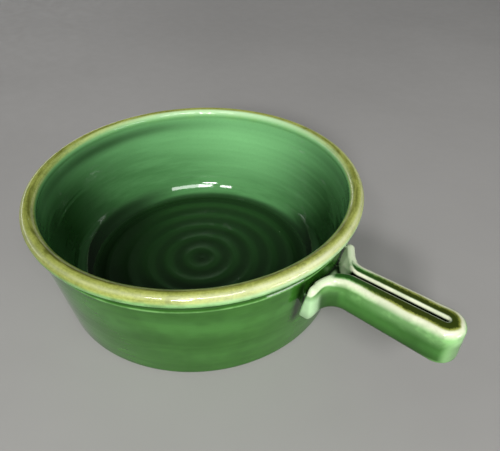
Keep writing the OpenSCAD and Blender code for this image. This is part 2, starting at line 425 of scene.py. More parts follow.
def make_bowl():
    line, inside = soft_bowl_line()
    places = ring_places(line, inside)
    order = np.arange(len(line))
    r = np.interp(places, order, line[:, 0])
    z = np.interp(places, order, line[:, 1])
    within = np.interp(places, order, inside.astype(float)) > 0.5
    along = np.gradient(np.column_stack([r, z]), axis=0)
    along /= np.linalg.norm(along, axis=1)[:, None]
    out = np.column_stack([along[:, 1], -along[:, 0]])
    turn = np.arange(TURN_STEPS) * 2 * math.pi / TURN_STEPS
    rr, tt = np.meshgrid(r, turn, indexing="ij")
    zz = np.meshgrid(z, turn, indexing="ij")[0]

    threads = smooth_step(*THREADS_BEGIN, z) * smooth_step(*THREADS_END, z)
    threads = threads * np.where(within, 1, OUTER_THREADS)
    push = thread_marks(zz, tt) * threads[:, None]
    on_floor = within * smooth_step(*FLOOR_BEGIN, z)
    lift = ring_wander(rr, zz, tt) * on_floor[:, None]
    waves = smooth_step(*WAVES_BEGIN, z)
    inward = -(RIM_EASE + np.abs(slow_waves(tt))) * waves[:, None]
    sink = RIM_SINK * inward * smooth_step(ROLL_Z, BOWL_H, z)[:, None]
    px = rr + push * out[:, 0:1] + inward
    pz = zz + push * out[:, 1:2] + lift + sink
    points = np.stack([px * np.cos(tt), px * np.sin(tt), pz], axis=-1).reshape(-1, 3)
    points = np.vstack([points, [0, 0, z[0]], [0, 0, pz[-1].mean()]])
    piece = mesh_object("bowl_body", points, turned_faces(len(r)))
    paint_bowl(piece, line, places, r, z, within, turn)
    return piece


# Azimuths in degrees: the front's middle, and those of the back and of the painted light on the inner wall,
# with half widths
FRONT_TURN = -60
BACK_TURN = (118, 60)
LIT_PATCH_TURN = (100, 34)
# Painted shade on the inner wall's left and right sides, which turn away from the lamps: azimuth, half width
# and strength
SIDE_SHADE_TURNS = ((40, 38, 0.9), (222, 38, 0.97))
# Painted shadow on the floor's sides: azimuth, and distances from the axis between which it deepens
SHADOWED_FLOOR_SIDES = ((32, 58, 86), (218, 22, 62))
# Stretches of rim that are paler with a painted sheen, and where the glaze is thickest: azimuth and half
# width
PALE_SHEEN_RIM = (-15, 31)
THICK_RIM = (-100, 30)
# Changes of glaze on the bowl, each from the first value to the second
# By the angle on the roll, in degrees from its outer side over the top
ROLL_STEPS = {
    "amber_begins": (-12, 25), "amber_ends": (150, 112), "mint_begins": (-75, -15), "mint_ends": (244, 140),
    "mint_fades": (120, 160), "pale_begins": (106, 130), "pale_ends": (190, 132), "thick_ends": (105, 50),
}
# By height
HEIGHT_STEPS = {
    "roll": (NECK_Z - 0.5, NECK_Z + 1.2), "crevice_begins": (26, 36), "crevice_ends": (66, 60),
    # thick: heights between which the painted shade on the inner wall's sides fades
    "thick": (78, 50), "inner_painted_light": (12, 36), "back_light": (30, 66), "floor_shadow_fades": (21, 12),
    "bare_foot": (0.5, 0.15),
}
# By the distance from the axis
AXIS_STEPS = {
    "low": (85.5, 78), "dull": (82, 74), "middle": (11, 3), "bare_foot": (FOOT_IN_R - 1.2, FOOT_IN_R - 0.6),
}
# Lines of glaze along the roll: angle and half width, in degrees. The band is the glaze's olive with painted
# shade, the cream line pale glaze with a painted highlight, and the sheen lines paler glaze with a painted
# sheen
ROLL_LINES = {"band": (106, 20), "cream": (50, 15), "sheen_pale": (2, 17), "sheen_cream": (36, 28)}
# Bands of glaze by height: middle and half height. The bands of the cove and under the rim are pooled glaze
# with painted shade under the roll
BANDS = {
    "ridge": (RIDGE_Z + 0.1, 0.5), "cove": (COVE_Z + 0.4, 1.9), "under_rim": (NECK_Z - 3.5, 4.6),
    "wall_light": (50, 12), "foot_light": (21, 7),
}
# The amber reaches this much further in, in degrees, away from the back
AMBER_LAG = 26
# The angle on the roll is counted from here
ROLL_COUNT_FROM = -110
# Painted shade on the wall beside the near wing's end: place across the handle and half width
CREVICE_SHADE = (4.4 - NOSE_Y, 2.8)
# Glaze pools below the floor's softened line: the softening, and the depths between which it deepens
DEPTH_BLUR = 5.0
POOL_DEPTHS = (-0.25, 0.35)


def turn_bump(turn, middle, half):
    off = np.degrees(np.angle(np.exp(1j * (turn - math.radians(middle)))))
    return bump(off, 0, half)


def paint_bowl(piece, line, places, r, z, within, turn):
    """Masks of the bowl's coats, and of the painted light and shade on it. Plain factors in it are strengths
    from 0 to 1.
    """
    run = np.concatenate([[0], np.cumsum(np.hypot(np.diff(r), np.diff(z)))])
    depth = np.interp(places, np.arange(len(line)), blurred(line, DEPTH_BLUR)[:, 1]) - z
    roll = np.degrees(np.arctan2(z - ROLL_Z, r - ROLL_CENTRE_R))
    roll = np.where(roll < ROLL_COUNT_FROM, roll + 360, roll)
    r, z, roll, depth = (values[:, None] for values in (r, z, roll, depth))
    by_height = stepper(HEIGHT_STEPS, z)
    by_roll = stepper(ROLL_STEPS, roll)
    by_axis = stepper(AXIS_STEPS, r)
    inside, outside = within[:, None], ~within[:, None]
    front = 0.5 + 0.5 * np.cos(turn - math.radians(FRONT_TURN))
    back = turn_bump(turn, *BACK_TURN)
    # 1 a quarter turn from the painted lit patch on either side, where the painted shade under the rim is
    # stronger
    side = 0.5 - 0.5 * np.cos(2 * (turn - math.radians(LIT_PATCH_TURN[0])))

    on_roll = by_height("roll")
    on_floor = inside * smooth_step(*FLOOR_BEGIN, z)
    # Painted shade on the inner wall's left and right sides
    wall_side_shade = sum(share * turn_bump(turn, middle, half) for middle, half, share in SIDE_SHADE_TURNS)
    # Painted shadow on the floor's sides
    shadowed_floor_sides = largest(*(smooth_step(near, far, r * np.cos(turn - math.radians(middle)))
                            for middle, near, far in SHADOWED_FLOOR_SIDES))
    # Painted shade on the wall beside the near wing's end
    crevice_shade = bump(wall_r(z) * np.sin(turn), *CREVICE_SHADE) * (np.cos(turn) > 0)
    crevice_shade = crevice_shade * by_height("crevice_begins", "crevice_ends")
    # A paler stretch of rim with a painted sheen
    pale_sheen_rim = on_roll * turn_bump(turn, *PALE_SHEEN_RIM)
    thick_rim = on_roll * turn_bump(turn, *THICK_RIM) * by_roll("thick_ends")
    amber_ends = smooth_step(*ROLL_STEPS["amber_ends"], roll - AMBER_LAG * (1 - back))
    # The mint on the roll's inner side fades away from the back, where that side turns from the lamps: mint
    # glaze with painted shade
    mint = on_roll * by_roll("mint_begins", "mint_ends") * (1 - 0.85 * by_roll("mint_fades") * (1 - back))
    # Painted light on the inner wall: brighter toward the back, which faces the lamps, and in the lit patch
    inner_painted_light = 0.55 * by_height("back_light") * (0.5 + 0.5 * back) + 0.6 * turn_bump(turn, *LIT_PATCH_TURN)
    outer_light = 0.5 * bump(z, *BANDS["wall_light"]) + 0.25 * bump(z, *BANDS["foot_light"])
    masks = {
        "amber": on_roll * by_roll("amber_begins") * amber_ends,
        # The olive band is stronger at the front, where the roll's top inner side faces away from the lamps:
        # the glaze's own olive with painted shade
        "band": on_roll * bump(roll, *ROLL_LINES["band"]) * (0.4 + 0.6 * front),
        "mint": np.maximum(mint, 0.75 * outside * bump(z, *BANDS["ridge"])),
        # Pale on the roll's inner side only at the back, which faces the lamps: pale glaze with painted light
        "pale": (on_roll * by_roll("pale_begins", "pale_ends") * back
                 + 0.65 * pale_sheen_rim * bump(roll, *ROLL_LINES["sheen_pale"])),
        # The cream line on the roll is pale glaze with a painted highlight, and the sheen stretch adds a
        # painted sheen
        "cream": (0.28 * on_roll * bump(roll, *ROLL_LINES["cream"])
                  + 0.4 * pale_sheen_rim * bump(roll, *ROLL_LINES["sheen_cream"])),
        "light": np.maximum(inside * by_height("inner_painted_light") * inner_painted_light, outside * outer_light),
        # The floor's darker glaze, and the painted shade on the inner wall's sides
        "low": inside * np.maximum(by_axis("low"), by_height("thick") * wall_side_shade),
        # Darker with pooled glaze in the floor's troughs and the thicker rim, and darker in the floor's
        # middle; pooled glaze and painted shade in the cove and under the rim; painted shade beside the near
        # wing's end; painted shadow on the floor's sides
        "pool_and_shade": largest(0.6 * outside * bump(z, *BANDS["cove"]),
                        inside * bump(z, *BANDS["under_rim"]) * (0.12 + 0.58 * side),
                        0.35 * thick_rim,
                        0.95 * outside * crevice_shade,
                        0.8 * inside * by_height("floor_shadow_fades") * shadowed_floor_sides,
                        0.6 * on_floor * smooth_step(*POOL_DEPTHS, depth),
                        0.7 * on_floor * by_axis("middle")),
        "inside": inside,
        "dull": 0.7 * inside * by_axis("dull"),
        "bare": outside * by_height("bare_foot") * by_axis("bare_foot"),
    }
    for name, values in masks.items():
        spread = np.broadcast_to(np.asarray(values, float), (len(z), len(turn)))
        mask(piece, name, np.concatenate([spread.ravel(), [spread[0].mean(), spread[-1].mean()]]))
    around = np.column_stack([np.cos(turn), np.sin(turn)]) * RIM_D / 2
    flow = np.concatenate([np.tile(around, (len(run), 1)), np.repeat(run, len(turn))[:, None]], axis=1)
    set_flow(piece, np.vstack([flow, [0, 0, run[0]], [0, 0, run[-1]]]))


# Handle: the hairpin bar, its web and a patch of wall are fused, softened, and cut back to the wall
VOXEL = 0.4
EDGE_STEPS = 12
LIP_STEPS = 8
HEEL_STEPS = 10
END_STEPS = 12
FLARE_STEPS = 30
RUN_STEPS = 20
TIP_STEPS = 24
PATCH_STEPS = 48
PATCH_HALF_TURN = math.radians(24)
PATCH_DEPTH = 4.0
PATCH_BELOW = 6
CONE_STEPS = 720
CONE_PAST = 5.0


def arc_points(u, z, radius, start, end, steps):
    angles = [math.radians(start + (end - start) * i / steps) for i in range(steps + 1)]
    return [(u + radius * math.cos(a), z + radius * math.sin(a)) for a in angles]


def rail_section(wing, tip, shut, end_w):
    """Section of the bar: wing, tip and shut say how far it is a wing, at the tip and closed to a nose."""
    wall_lean = math.degrees(WALL_TILT)
    open_lean = GROOVE_ANGLE + (wall_lean + WING_BACK_ANGLE - GROOVE_ANGLE) * wing
    lean = open_lean + (wall_lean - open_lean) * shut
    tilt = math.radians(lean)
    top = HANDLE_TOP - END_DROP * shut
    foot = HANDLE_TOP - HANDLE_ROOT_H - (HANDLE_TIP_H - HANDLE_ROOT_H) * tip + END_RISE * shut
    right = RAIL_ROOT_W + (RAIL_TIP_W - RAIL_ROOT_W) * tip - END_SET_BACK * shut
    nose = right - end_w
    left = WING_RIDGE * wing + (nose - WING_RIDGE) * shut
    open_lip = LIP_R + (WING_LIP_R - LIP_R) * wing
    lip = open_lip + (END_LIP_R - open_lip) * shut
    lip_u = left + lip * (1 - math.sin(tilt)) / math.cos(tilt)
    edge = min(RAIL_EDGE_R, right - lip_u - LEAST_FLAT)
    heel = min(RAIL_FOOT_R, right - left - LEAST_FLAT)
    return (arc_points(right - edge, top - edge, edge, 0, 90, EDGE_STEPS)
            + arc_points(lip_u, top - lip, lip, 90, 180 - lean, LIP_STEPS)
            + [(left - (top - foot) * math.tan(tilt), foot)]
            + arc_points(right - heel, foot + heel, heel, 270, 360, HEEL_STEPS))


def half_stations(turn, run):
    """Stations from a wing's nose to the tip: x, y, heading, and how far wing, tip and shut."""
    stations = []
    last = math.radians(turn)
    for i in range(END_STEPS + 1):
        a = math.radians(90 - 90 * i / END_STEPS)
        past = run + WING_END * math.sin(a)
        x = FLARE_X - TURN_R * math.sin(last) - past * math.cos(last)
        y = -WING_Y + TURN_R * math.cos(last) - past * math.sin(last)
        stations.append((x, y, turn, 1, 0, 1 - math.cos(a)))
    for i in range(FLARE_STEPS + 1):
        heading = turn * (1 - i / FLARE_STEPS)
        a = math.radians(heading)
        x = FLARE_X - TURN_R * math.sin(a)
        y = -WING_Y + TURN_R * math.cos(a)
        wing = float(smooth_step(0, turn * WING_SHARE, heading))
        stations.append((x, y, heading, wing, 0, 0))
    for i in range(1, RUN_STEPS):
        share = i / RUN_STEPS
        stations.append((FLARE_X + (TIP_X - FLARE_X) * share, -GROOVE_HALF, 0, 0, share, 0))
    for i in range(TIP_STEPS + 1):
        heading = 90 * i / TIP_STEPS
        a = math.radians(-90 + heading)
        stations.append((TIP_X + GROOVE_HALF * math.cos(a), GROOVE_HALF * math.sin(a), heading, 0, 1, 0))
    return stations


def rail_bar():
    near = half_stations(NEAR_WING_ANGLE, NEAR_WING_RUN)
    far = [(x, -y, 180 - heading, wing, tip, shut)
           for x, y, heading, wing, tip, shut in reversed(half_stations(FAR_WING_ANGLE, FAR_WING_RUN)[:-1])]
    rings = []
    for x, y, heading, wing, tip, shut in near + far:
        a = math.radians(heading)
        section = rail_section(wing, tip, shut, NEAR_END_W if y < 0 else FAR_END_W)
        rings.append([(x + u * math.sin(a), y - u * math.cos(a), z) for u, z in section])
    points = [p for ring in rings for p in ring]
    m = len(rings[0])
    faces = [(a, d, c, b) for a, b, c, d in ring_faces(len(rings), m)]
    faces.append(tuple(range(m)))
    faces.append(tuple(reversed(range(len(points) - m, len(points)))))
    return points, faces


def prism_faces(n):
    """Faces of a prism whose n lower points come before its n upper ones."""
    return [tuple(reversed(range(n))), tuple(range(n, 2 * n))] + ring_faces(2, n)


def web():
    web_y = GROOVE_HALF + RAIL_ROOT_W / 2
    web_turn = TURN_R - RAIL_ROOT_W / 2
    back_x = FLARE_X - TURN_R - WEB_BACK
    sides = []
    for turn in (NEAR_WING_ANGLE, FAR_WING_ANGLE):
        bend = arc_points(FLARE_X, -WING_Y, web_turn, 90 + turn, 90, FLARE_STEPS)
        sides.append([(back_x, bend[0][1])] + bend)
    tip = arc_points(TIP_X, 0, web_y, -90, 90, TIP_STEPS)
    plan = sides[0] + tip + [(x, -y) for x, y in reversed(sides[1])]
    slope = (HANDLE_TIP_H - HANDLE_ROOT_H) / (TIP_X - FLARE_X)
    low = [(x, y, HANDLE_TOP - HANDLE_ROOT_H + WEB_RISE - (x - FLARE_X) * slope) for x, y in plan]
    high = [(x, y, z + HANDLE_ROOT_H - GROOVE_DEPTH) for x, y, z in low]
    return low + high, prism_faces(len(plan))


def wall_patch():
    points = []
    for i in range(PATCH_STEPS + 1):
        turn = PATCH_HALF_TURN * (2 * i / PATCH_STEPS - 1)
        for z in (HANDLE_TOP - HANDLE_TIP_H - PATCH_BELOW, RIDGE_Z):
            for depth in (0, PATCH_DEPTH):
                r = wall_r(z) - depth
                points.append((r * math.cos(turn), r * math.sin(turn), z))
    faces = []
    for i in range(PATCH_STEPS):
        a, b = 4 * i, 4 * (i + 1)
        faces += [(a, b, b + 2, a + 2), (a + 1, a + 3, b + 3, b + 1),
                  (a, a + 1, b + 1, b), (a + 2, b + 2, b + 3, a + 3)]
    end = 4 * PATCH_STEPS
    faces += [(0, 2, 3, 1), (end, end + 1, end + 3, end + 2)]
    return points, faces


def wall_cone(name, grow):
    """The outer wall's cone, larger by a gap, as a tool to cut with."""
    points = []
    for z in (-CONE_PAST, NECK_Z + CONE_PAST):
        for i in range(CONE_STEPS):
            turn = 2 * math.pi * i / CONE_STEPS
            r = (wall_r(z) + grow) / math.cos(math.pi / CONE_STEPS)
            points.append((r * math.cos(turn), r * math.sin(turn), z))
    return mesh_object(name, points, prism_faces(CONE_STEPS), smooth=False)


def wing_pocket():
    """The gap between the wall and the near wing's free end, as a tool to cut with."""
    near_y = WING_FREE - NOSE_Y
    far_y = near_y - 2 * WING_FREE
    low_x, high_x = RIM_D / 4, RIM_D
    plan = ((low_x, far_y), (high_x, far_y), (high_x, near_y), (low_x, near_y))
    corners = [(x, y, z) for z in (0, BOWL_H) for x, y in plan]
    block = mesh_object("pocket_block", corners, prism_faces(len(plan)), smooth=False)
    tool = wall_cone("pocket_cut", WING_GAP)
    cut(tool, block, "INTERSECT")
    bpy.data.objects.remove(block)
    return tool


def applied(piece):
    graph = bpy.context.evaluated_depsgraph_get()
    mesh = bpy.data.meshes.new_from_object(piece.evaluated_get(graph))
    piece.modifiers.clear()
    old = piece.data
    piece.data = mesh
    bpy.data.meshes.remove(old)
    mesh.name = piece.name
    return piece


def fuse(piece):
    step = piece.modifiers.new("fuse", "REMESH")
    step.mode = "VOXEL"
    step.voxel_size = VOXEL * MM
    return applied(piece)


def cut(piece, tool, operation):
    step = piece.modifiers.new("cut", "BOOLEAN")
    step.operation = operation
    step.solver = "MANIFOLD"
    step.object = tool
    return applied(piece)


def solid_of(piece):
    faces = [tuple(face.vertices) for face in piece.data.polygons]
    return [tuple(p) for p in points_of(piece)], faces


def joined(name, parts):
    points, faces = [], []
    for part_points, part_faces in parts:
        faces += [tuple(i + len(points) for i in face) for face in part_faces]
        points += part_points
    return mesh_object(name, points, faces)


def drop_idle_points(piece):
    """Takes out the points that a cut leaves part-way along an edge, which export as slivers."""
    work = bmesh.new()
    work.from_mesh(piece.data)
    bmesh.ops.dissolve_verts(work, verts=[point for point in work.verts if len(point.link_edges) == 2])
    work.to_mesh(piece.data)
    work.free()


def edges_of(piece):
    flat = np.zeros(len(piece.data.edges) * 2, dtype=np.int64)
    piece.data.edges.foreach_get("vertices", flat)
    return flat.reshape(-1, 2)


def neighbour_mean(points, edges):
    both = np.vstack([edges, edges[:, ::-1]])
    number = np.bincount(both[:, 0], minlength=len(points))
    totals = [np.bincount(both[:, 0], weights=points[both[:, 1], i], minlength=len(points)) for i in range(3)]
    return np.column_stack(totals) / np.maximum(number, 1)[:, None]


# Softening of the handle: its turns and the share given back each turn, in general and at the wings' ends
SOFTEN_STEP = 0.5
SOFTEN_ALL = (14, 0.52)
SOFTEN_ENDS = (60, 0.5)
# Turns of softening against which small and broad hills and hollows are measured
HILL_TURNS = 40
BROAD_TURNS = 160
# Places across the handle where the softer ends begin
NEAR_END_ZONE = (4 - NOSE_Y, 1 - NOSE_Y)
FAR_END_ZONE = (1, 6)
# The seam starts this far out from the wall, and its back is then sunk into it
SEAM_EDGE = 0.12
SEAM_SUNK = 0.4
SEAM_BACK_ZONE = (SEAM_EDGE + 0.1, SEAM_EDGE + 0.02)


def softened(points, edges, turns, give_back):
    for _ in range(turns):
        points = points + SOFTEN_STEP * (neighbour_mean(points, edges) - points)
        points = points - give_back * (neighbour_mean(points, edges) - points)
    return points


def make_handle():
    bar = fuse(joined("bar", [rail_bar(), web()]))
    pocket = wing_pocket()
    cut(bar, pocket, "DIFFERENCE")
    fused = fuse(joined("handle_body", [solid_of(bar), wall_patch()]))
    for tool in (bar, pocket):
        bpy.data.objects.remove(tool)

    edges = edges_of(fused)
    points = softened(points_of(fused), edges, *SOFTEN_ALL)
    x, y = points[:, 0], points[:, 1]
    far_wing = sweep_place(x, y)[1] * smooth_step(*FAR_END_ZONE, y)
    ends = np.maximum(smooth_step(*NEAR_END_ZONE, y), far_wing)[:, None]
    points = points + ends * (softened(points, edges, *SOFTEN_ENDS) - points)
    set_points(fused, points)
    fused.data.shade_smooth()
    normals = vectors_of(fused, "normal")
    hill, broad = (((points - softened(points, edges, turns, 0.0)) * normals).sum(axis=1)
                   for turns in (HILL_TURNS, BROAD_TURNS))
    lookup = KDTree(len(points))
    for i, p in enumerate(points):
        lookup.insert(p, i)
    lookup.balance()

    base = wall_cone("wall_cut", SEAM_EDGE)
    split = wall_cone("slip_cut", SLIP_T)
    cut(fused, base, "DIFFERENCE")
    seam = placed("seam_body", fused.data.copy())
    cut(fused, split, "DIFFERENCE")
    cut(seam, split, "INTERSECT")
    for tool in (base, split):
        bpy.data.objects.remove(tool)
    for piece in (fused, seam):
        drop_idle_points(piece)
        near = [lookup.find(p)[1] for p in points_of(piece)]
        dress_handle(piece, hill[near], broad[near], normals[near])
    tuck_under(seam)
    return fused, seam


def tuck_under(piece):
    """Sinks the back of the seam's piece into the wall."""
    points = points_of(piece)
    r = np.hypot(points[:, 0], points[:, 1])
    gap = (r - wall_r(points[:, 2])) * math.cos(WALL_TILT)
    shrink = 1 - smooth_step(*SEAM_BACK_ZONE, gap) * SEAM_SUNK / r
    set_points(piece, points * np.column_stack([shrink, shrink, np.ones_like(r)]))


def sweep_place(x, y):
    """Distance out from the groove's edge, and how far the rail has become a wing."""
    angle = np.radians(np.where(y < 0, NEAR_WING_ANGLE, FAR_WING_ANGLE))
    from_x, from_y = x - FLARE_X, WING_Y - np.abs(y)
    turned = np.arctan2(-from_x, from_y)
    straight = np.abs(y) - GROOVE_HALF
    round_tip = np.hypot(x - TIP_X, y) - GROOVE_HALF
    bend = TURN_R - np.hypot(from_x, from_y)
    end_x, end_y = FLARE_X - TURN_R * np.sin(angle), WING_Y - TURN_R * np.cos(angle)
    run = (x - end_x) * np.sin(angle) + (np.abs(y) - end_y) * np.cos(angle)
    out = np.where(x > TIP_X, round_tip, straight)
    out = np.where(x < FLARE_X, np.where(turned < angle, bend, run), out)
    wing = np.where(x < FLARE_X, smooth_step(0, 1, turned / (angle * WING_SHARE)), 0)
    return out, wing


# Changes of glaze on the handle, each from the first value to the second
# By the depth below the handle's top
BELOW = {
    "top": (7, 4), "lip": (3.6, 2.4), "wing_top": (6.5, 3.0), "low_edge": (18, 21), "shoulder": (13, 4),
    "tip_end": (6, 12), "tip_foot": (20, 22), "near_nose": (3, 9), "far_wing": (18, 8), "bend": (5, 10),
    "groove": (1.4, 2.4), "light_begins": (22, 14), "light_ends": (3, 8), "low_side": (15, 23),
}
# By how far the surface faces up
UP = {
    "near_lip_highlight": (0.995, 0.95), "far_lip_highlight": (0.995, 0.84), "wing_top": (0.0, 0.35), "crest": (0.1, 0.5),
    "shoulder": (0.95, 0.6), "tip_face": (0.8, 0.4),
}
# By the angle round the rail's outer edge, in degrees from its side to its top
TURN = {
    "edge_ends": (78, 60), "fringe_begins": (46, 68), "fringe_ends": (104, 86), "flat": (58, 106),
    "soft_begins": (-20, 20), "soft_ends": (90, 76),
}
# By the distance out from the groove's edge
OUT = {"lip": (2.5, 1.9), "flat": (0.8, 1.5), "groove": (0.9, 0.4)}
# By how far the rail has become a wing
WING = {"rail_ends": (0.35, 0.8), "far_flat_ends": (0.8, 1.0), "bend": (0.02, 0.35)}
# By the place along the handle
ALONG = {
    "olive": (FLARE_X - 4, FLARE_X + 28), "tip_face": (TIP_X + 3, TIP_X + 10),
    "tip_foot": (TIP_X - 14, TIP_X), "low_side": (TIP_X + 6, TIP_X - 10),
}
# By the place across the handle
ACROSS = {
    "far_border": (-1, 1), "far_edge": (-4, 6), "near_nose": (-18, -23), "far_wing": (1, 5),
    "bend": (-6, -10),
}
# By the height of small hills, and of broad hollows
HILL = {"crest": (0.06, 0.2), "tip_foot": (0.05, 0.2)}
HOLLOW = (-0.2, -0.9)
# By how far the surface faces along the handle
TIP_END_FACES = (0.5, 0.95)
# The lower edge lies where the surface faces down by this much: middle and half width
LOW_EDGE_UP = (-0.56, 0.1)
# The pale edge begins and is full at these angles, and begins later on the far rail, in degrees
EDGE_BEGINS = -4
EDGE_FULL = 56
FAR_EDGE_LATER = 24
# Wander of the coats' borders: height in degrees, length, slant and phase, and the shift on the far rail
BORDER_WAVES = ((3, 7.3, 0.06, 0.0), (2, 3.1, 0.0, 1.3))
FAR_BORDER_SHIFT = 12
# Share of the pale line and painted highlight on the near lip, which faces away from the lamps
NEAR_LIP_HIGHLIGHT = 0.35
# Stretch of the streaks' places along X, Y and Z
HANDLE_FLOW = (2, 2, 0.35)


def edge_turn(x, y, out, below):
    """Angle round the rail's outer edge, with the wander that the glaze's borders have."""
    along = np.clip((x - FLARE_X) / (TIP_X - FLARE_X), 0, 1)
    width = RAIL_ROOT_W + (RAIL_TIP_W - RAIL_ROOT_W) * along
    turn = np.degrees(np.arctan2(RAIL_EDGE_R - below, out - (width - RAIL_EDGE_R)))
    for height, length, slant, phase in BORDER_WAVES:
        turn = turn + height * np.sin(x / length + slant * y + phase)
    return turn - FAR_BORDER_SHIFT * smooth_step(*ACROSS["far_border"], y)


def dress_handle(piece, hill, broad, normals):
    """Masks of the handle's coats, and of the painted light and shade on it. Plain factors are strengths from
    0 to 1.
    """
    points = points_of(piece)
    x, y, z = points.T
    up = normals[:, 2]
    below = HANDLE_TOP - z
    out, wing = sweep_place(x, y)
    turn = edge_turn(x, y, out, below)
    by_below = stepper(BELOW, below)
    by_up = stepper(UP, up)
    by_turn = stepper(TURN, turn)
    by_out = stepper(OUT, out)
    by_wing = stepper(WING, wing)
    by_along = stepper(ALONG, x)
    by_across = stepper(ACROSS, y)
    by_hill = stepper(HILL, hill)

    on_top = by_below("top")
    toward_tip = by_along("olive")
    rail = 1 - by_wing("rail_ends")
    # Pooled glaze and painted shade in the broad hollows
    hollow = smooth_step(*HOLLOW, broad)
    # The lips are pale glaze with a painted highlight, fuller on the far lip, which faces the lamps
    lip = np.where(y < 0, NEAR_LIP_HIGHLIGHT * by_up("near_lip_highlight"), by_up("far_lip_highlight"))
    lip = lip * by_out("lip") * by_below("lip") * rail
    edge_begins = EDGE_BEGINS + FAR_EDGE_LATER * by_across("far_edge")
    edge = on_top * smooth_step(edge_begins, EDGE_FULL, turn) * by_turn("edge_ends") * rail
    fringe = on_top * by_turn("fringe_begins", "fringe_ends") * rail * toward_tip
    flat_end = np.where(y < 0, rail, 1 - by_wing("far_flat_ends"))
    flat_side = smooth_step(*OUT["flat"], out - WING_RIDGE * wing)
    flat = on_top * by_turn("flat") * flat_side * flat_end * (1 - lip)
    soft_edge = on_top * by_turn("soft_begins", "soft_ends") * rail
    wing_top = by_below("wing_top") * by_up("wing_top")
    # The wings' crests are pale glaze with a painted highlight on their upward faces
    crest = (1 - rail) * np.maximum(wing_top, by_hill("crest") * by_up("crest"))
    low_edge = bump(up, *LOW_EDGE_UP) * by_below("low_edge")
    shoulder = by_below("shoulder") * by_up("shoulder") * (0.55 + 0.45 * toward_tip)
    tip_end = smooth_step(*TIP_END_FACES, normals[:, 0]) * by_below("tip_end") * toward_tip
    # Painted light on the tip's front face
    tip_face = by_along("tip_face") * by_up("tip_face")
    tip_foot = by_along("tip_foot") * by_hill("tip_foot") * by_below("tip_foot")
    near_nose = wing * by_across("near_nose") * by_below("near_nose")
    # Painted light on the far wing's inner face, which lies in shade
    far_wing = wing * by_across("far_wing") * by_below("far_wing") * (1 - hollow)
    # Painted shade on the side at the near bend
    bend_side = by_wing("bend") * by_across("bend") * by_below("bend") * (1 - near_nose)
    # Pooled glaze and painted shade down in the groove
    in_groove = by_out("groove") * by_below("groove") * rail
    low_side = by_below("low_side") * by_along("low_side")
    pale_shoulder = shoulder * toward_tip
    masks = {
        # In these coats the far wing and the tip's front face carry painted light, and the lips and crests a
        # painted highlight
        "cream": largest(edge + 0.7 * crest, lip, 0.35 * low_edge, 0.7 * far_wing),
        "dull": hollow,
        "amber": fringe,
        "mint": largest(soft_edge, shoulder, 0.9 * tip_face, 0.5 * tip_foot, crest),
        "pale": largest(0.8 * near_nose, 0.9 * far_wing, 0.8 * crest, 0.3 * tip_face, 0.1 * pale_shoulder),
        "flat": flat,
        "olive": toward_tip,
        "light": 0.6 * by_below("light_begins", "light_ends"),
        # Pooled glaze and painted shade in the groove and the hollows; painted shade at the near bend; darker
        # low on the side and on the tip's end
        "pool_and_shade": largest(in_groove, hollow, 0.4 * low_side, 0.42 * bend_side, 0.5 * tip_end),
    }
    for name, values in masks.items():
        mask(piece, name, values)
    set_flow(piece, points * HANDLE_FLOW)
    piece.data.shade_smooth()


bowl = make_bowl()
handle, seam = make_handle()


# Materials
def colour(red, green, blue):
    """An sRGB colour from 0 to 255, in the linear form that shaders take."""
    share = np.array([red, green, blue]) / 255
    linear = np.where(share <= 0.04045, share / 12.92, ((share + 0.055) / 1.055) ** 2.4)
    return (*linear, 1.0)


# Numbers of the sockets for colours on a Mix node
MIX_FACTOR = 0
MIX_FIRST = 6
MIX_SECOND = 7
MIX_RESULT = 2


def feed(tree, socket, value):
    if isinstance(value, bpy.types.NodeSocket):
        tree.links.new(value, socket)
    else:
        socket.default_value = value


def attribute(tree, name):
    node = tree.nodes.new("ShaderNodeAttribute")
    node.attribute_name = name
    return node.outputs["Fac"]


def own_place(tree):
    return tree.nodes.new("ShaderNodeTexCoord").outputs["Object"]


def noise(tree, scale, detail, roughness, place=None):
    node = tree.nodes.new("ShaderNodeTexNoise")
    node.inputs["Scale"].default_value = scale
    node.inputs["Detail"].default_value = detail
    node.inputs["Roughness"].default_value = roughness
    tree.links.new(place or own_place(tree), node.inputs["Vector"])
    return node.outputs["Fac"]


def streaks(tree, squeeze, scale, detail, roughness):
    """Noise that is squeezed along the third axis of the flow."""
    place = tree.nodes.new("ShaderNodeAttribute")
    place.attribute_name = "flow"
    mapping = tree.nodes.new("ShaderNodeMapping")
    mapping.inputs["Scale"].default_value = (1, 1, squeeze)
    tree.links.new(place.outputs["Vector"], mapping.inputs["Vector"])
    return noise(tree, scale, detail, roughness, mapping.outputs["Vector"])


def spots(tree, scale):
    node = tree.nodes.new("ShaderNodeTexVoronoi")
    node.inputs["Scale"].default_value = scale
    tree.links.new(own_place(tree), node.inputs["Vector"])
    return node.outputs["Distance"]


def ramp(tree, value, low, high, start=0.0, end=1.0):
    node = tree.nodes.new("ShaderNodeMapRange")
    node.interpolation_type = "SMOOTHSTEP"
    tree.links.new(value, node.inputs["Value"])
    node.inputs["From Min"].default_value = low
    node.inputs["From Max"].default_value = high
    node.inputs["To Min"].default_value = start
    node.inputs["To Max"].default_value = end
    return node.outputs["Result"]


def sums(tree, operation, a, b):
    node = tree.nodes.new("ShaderNodeMath")
    node.operation = operation
    node.use_clamp = True
    feed(tree, node.inputs[0], a)
    feed(tree, node.inputs[1], b)
    return node.outputs["Value"]


def product(tree, a, b):
    return sums(tree, "MULTIPLY", a, b)


def total(tree, a, b):
    return sums(tree, "ADD", a, b)


def blend(tree, factor, first, second):
    node = tree.nodes.new("ShaderNodeMix")
    node.data_type = "RGBA"
    feed(tree, node.inputs[MIX_FACTOR], factor)
    feed(tree, node.inputs[MIX_FIRST], first)
    feed(tree, node.inputs[MIX_SECOND], second)
    return node.outputs[MIX_RESULT]


